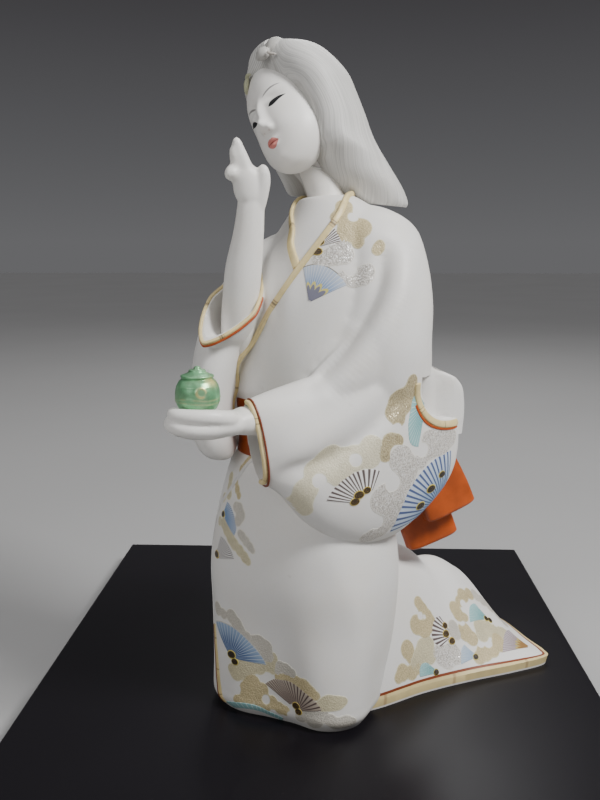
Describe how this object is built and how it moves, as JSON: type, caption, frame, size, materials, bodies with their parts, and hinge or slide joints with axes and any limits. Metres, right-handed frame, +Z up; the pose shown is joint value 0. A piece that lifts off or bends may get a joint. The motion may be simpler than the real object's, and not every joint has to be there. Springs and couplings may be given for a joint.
{
  "type": "hakata doll",
  "caption": "Painted clay figure of a kneeling woman in a long-sleeved kimono, one hand raised and one palm holding a small lidded incense burner, on a flat black board.",
  "frame": {"origin": "middle of the board's underside, which is what the part stands on", "axes": "+Z up, along the figure's height; -Y towards the viewer; +X to the viewer's right, square to the board's sides"},
  "size_m": [0.273, 0.303, 0.3152],
  "materials": {
    "painted_clay": "matte white paint over fired clay",
    "green_metallic_paint": "pearly green paint with gold highlights over fired clay",
    "black_lacquer": "satin black lacquer over a wooden board"
  },
  "bodies": {
    "root": {"figure": "painted_clay", "incense_burner": "green_metallic_paint", "display_board": "black_lacquer"}
  },
  "joints": []
}
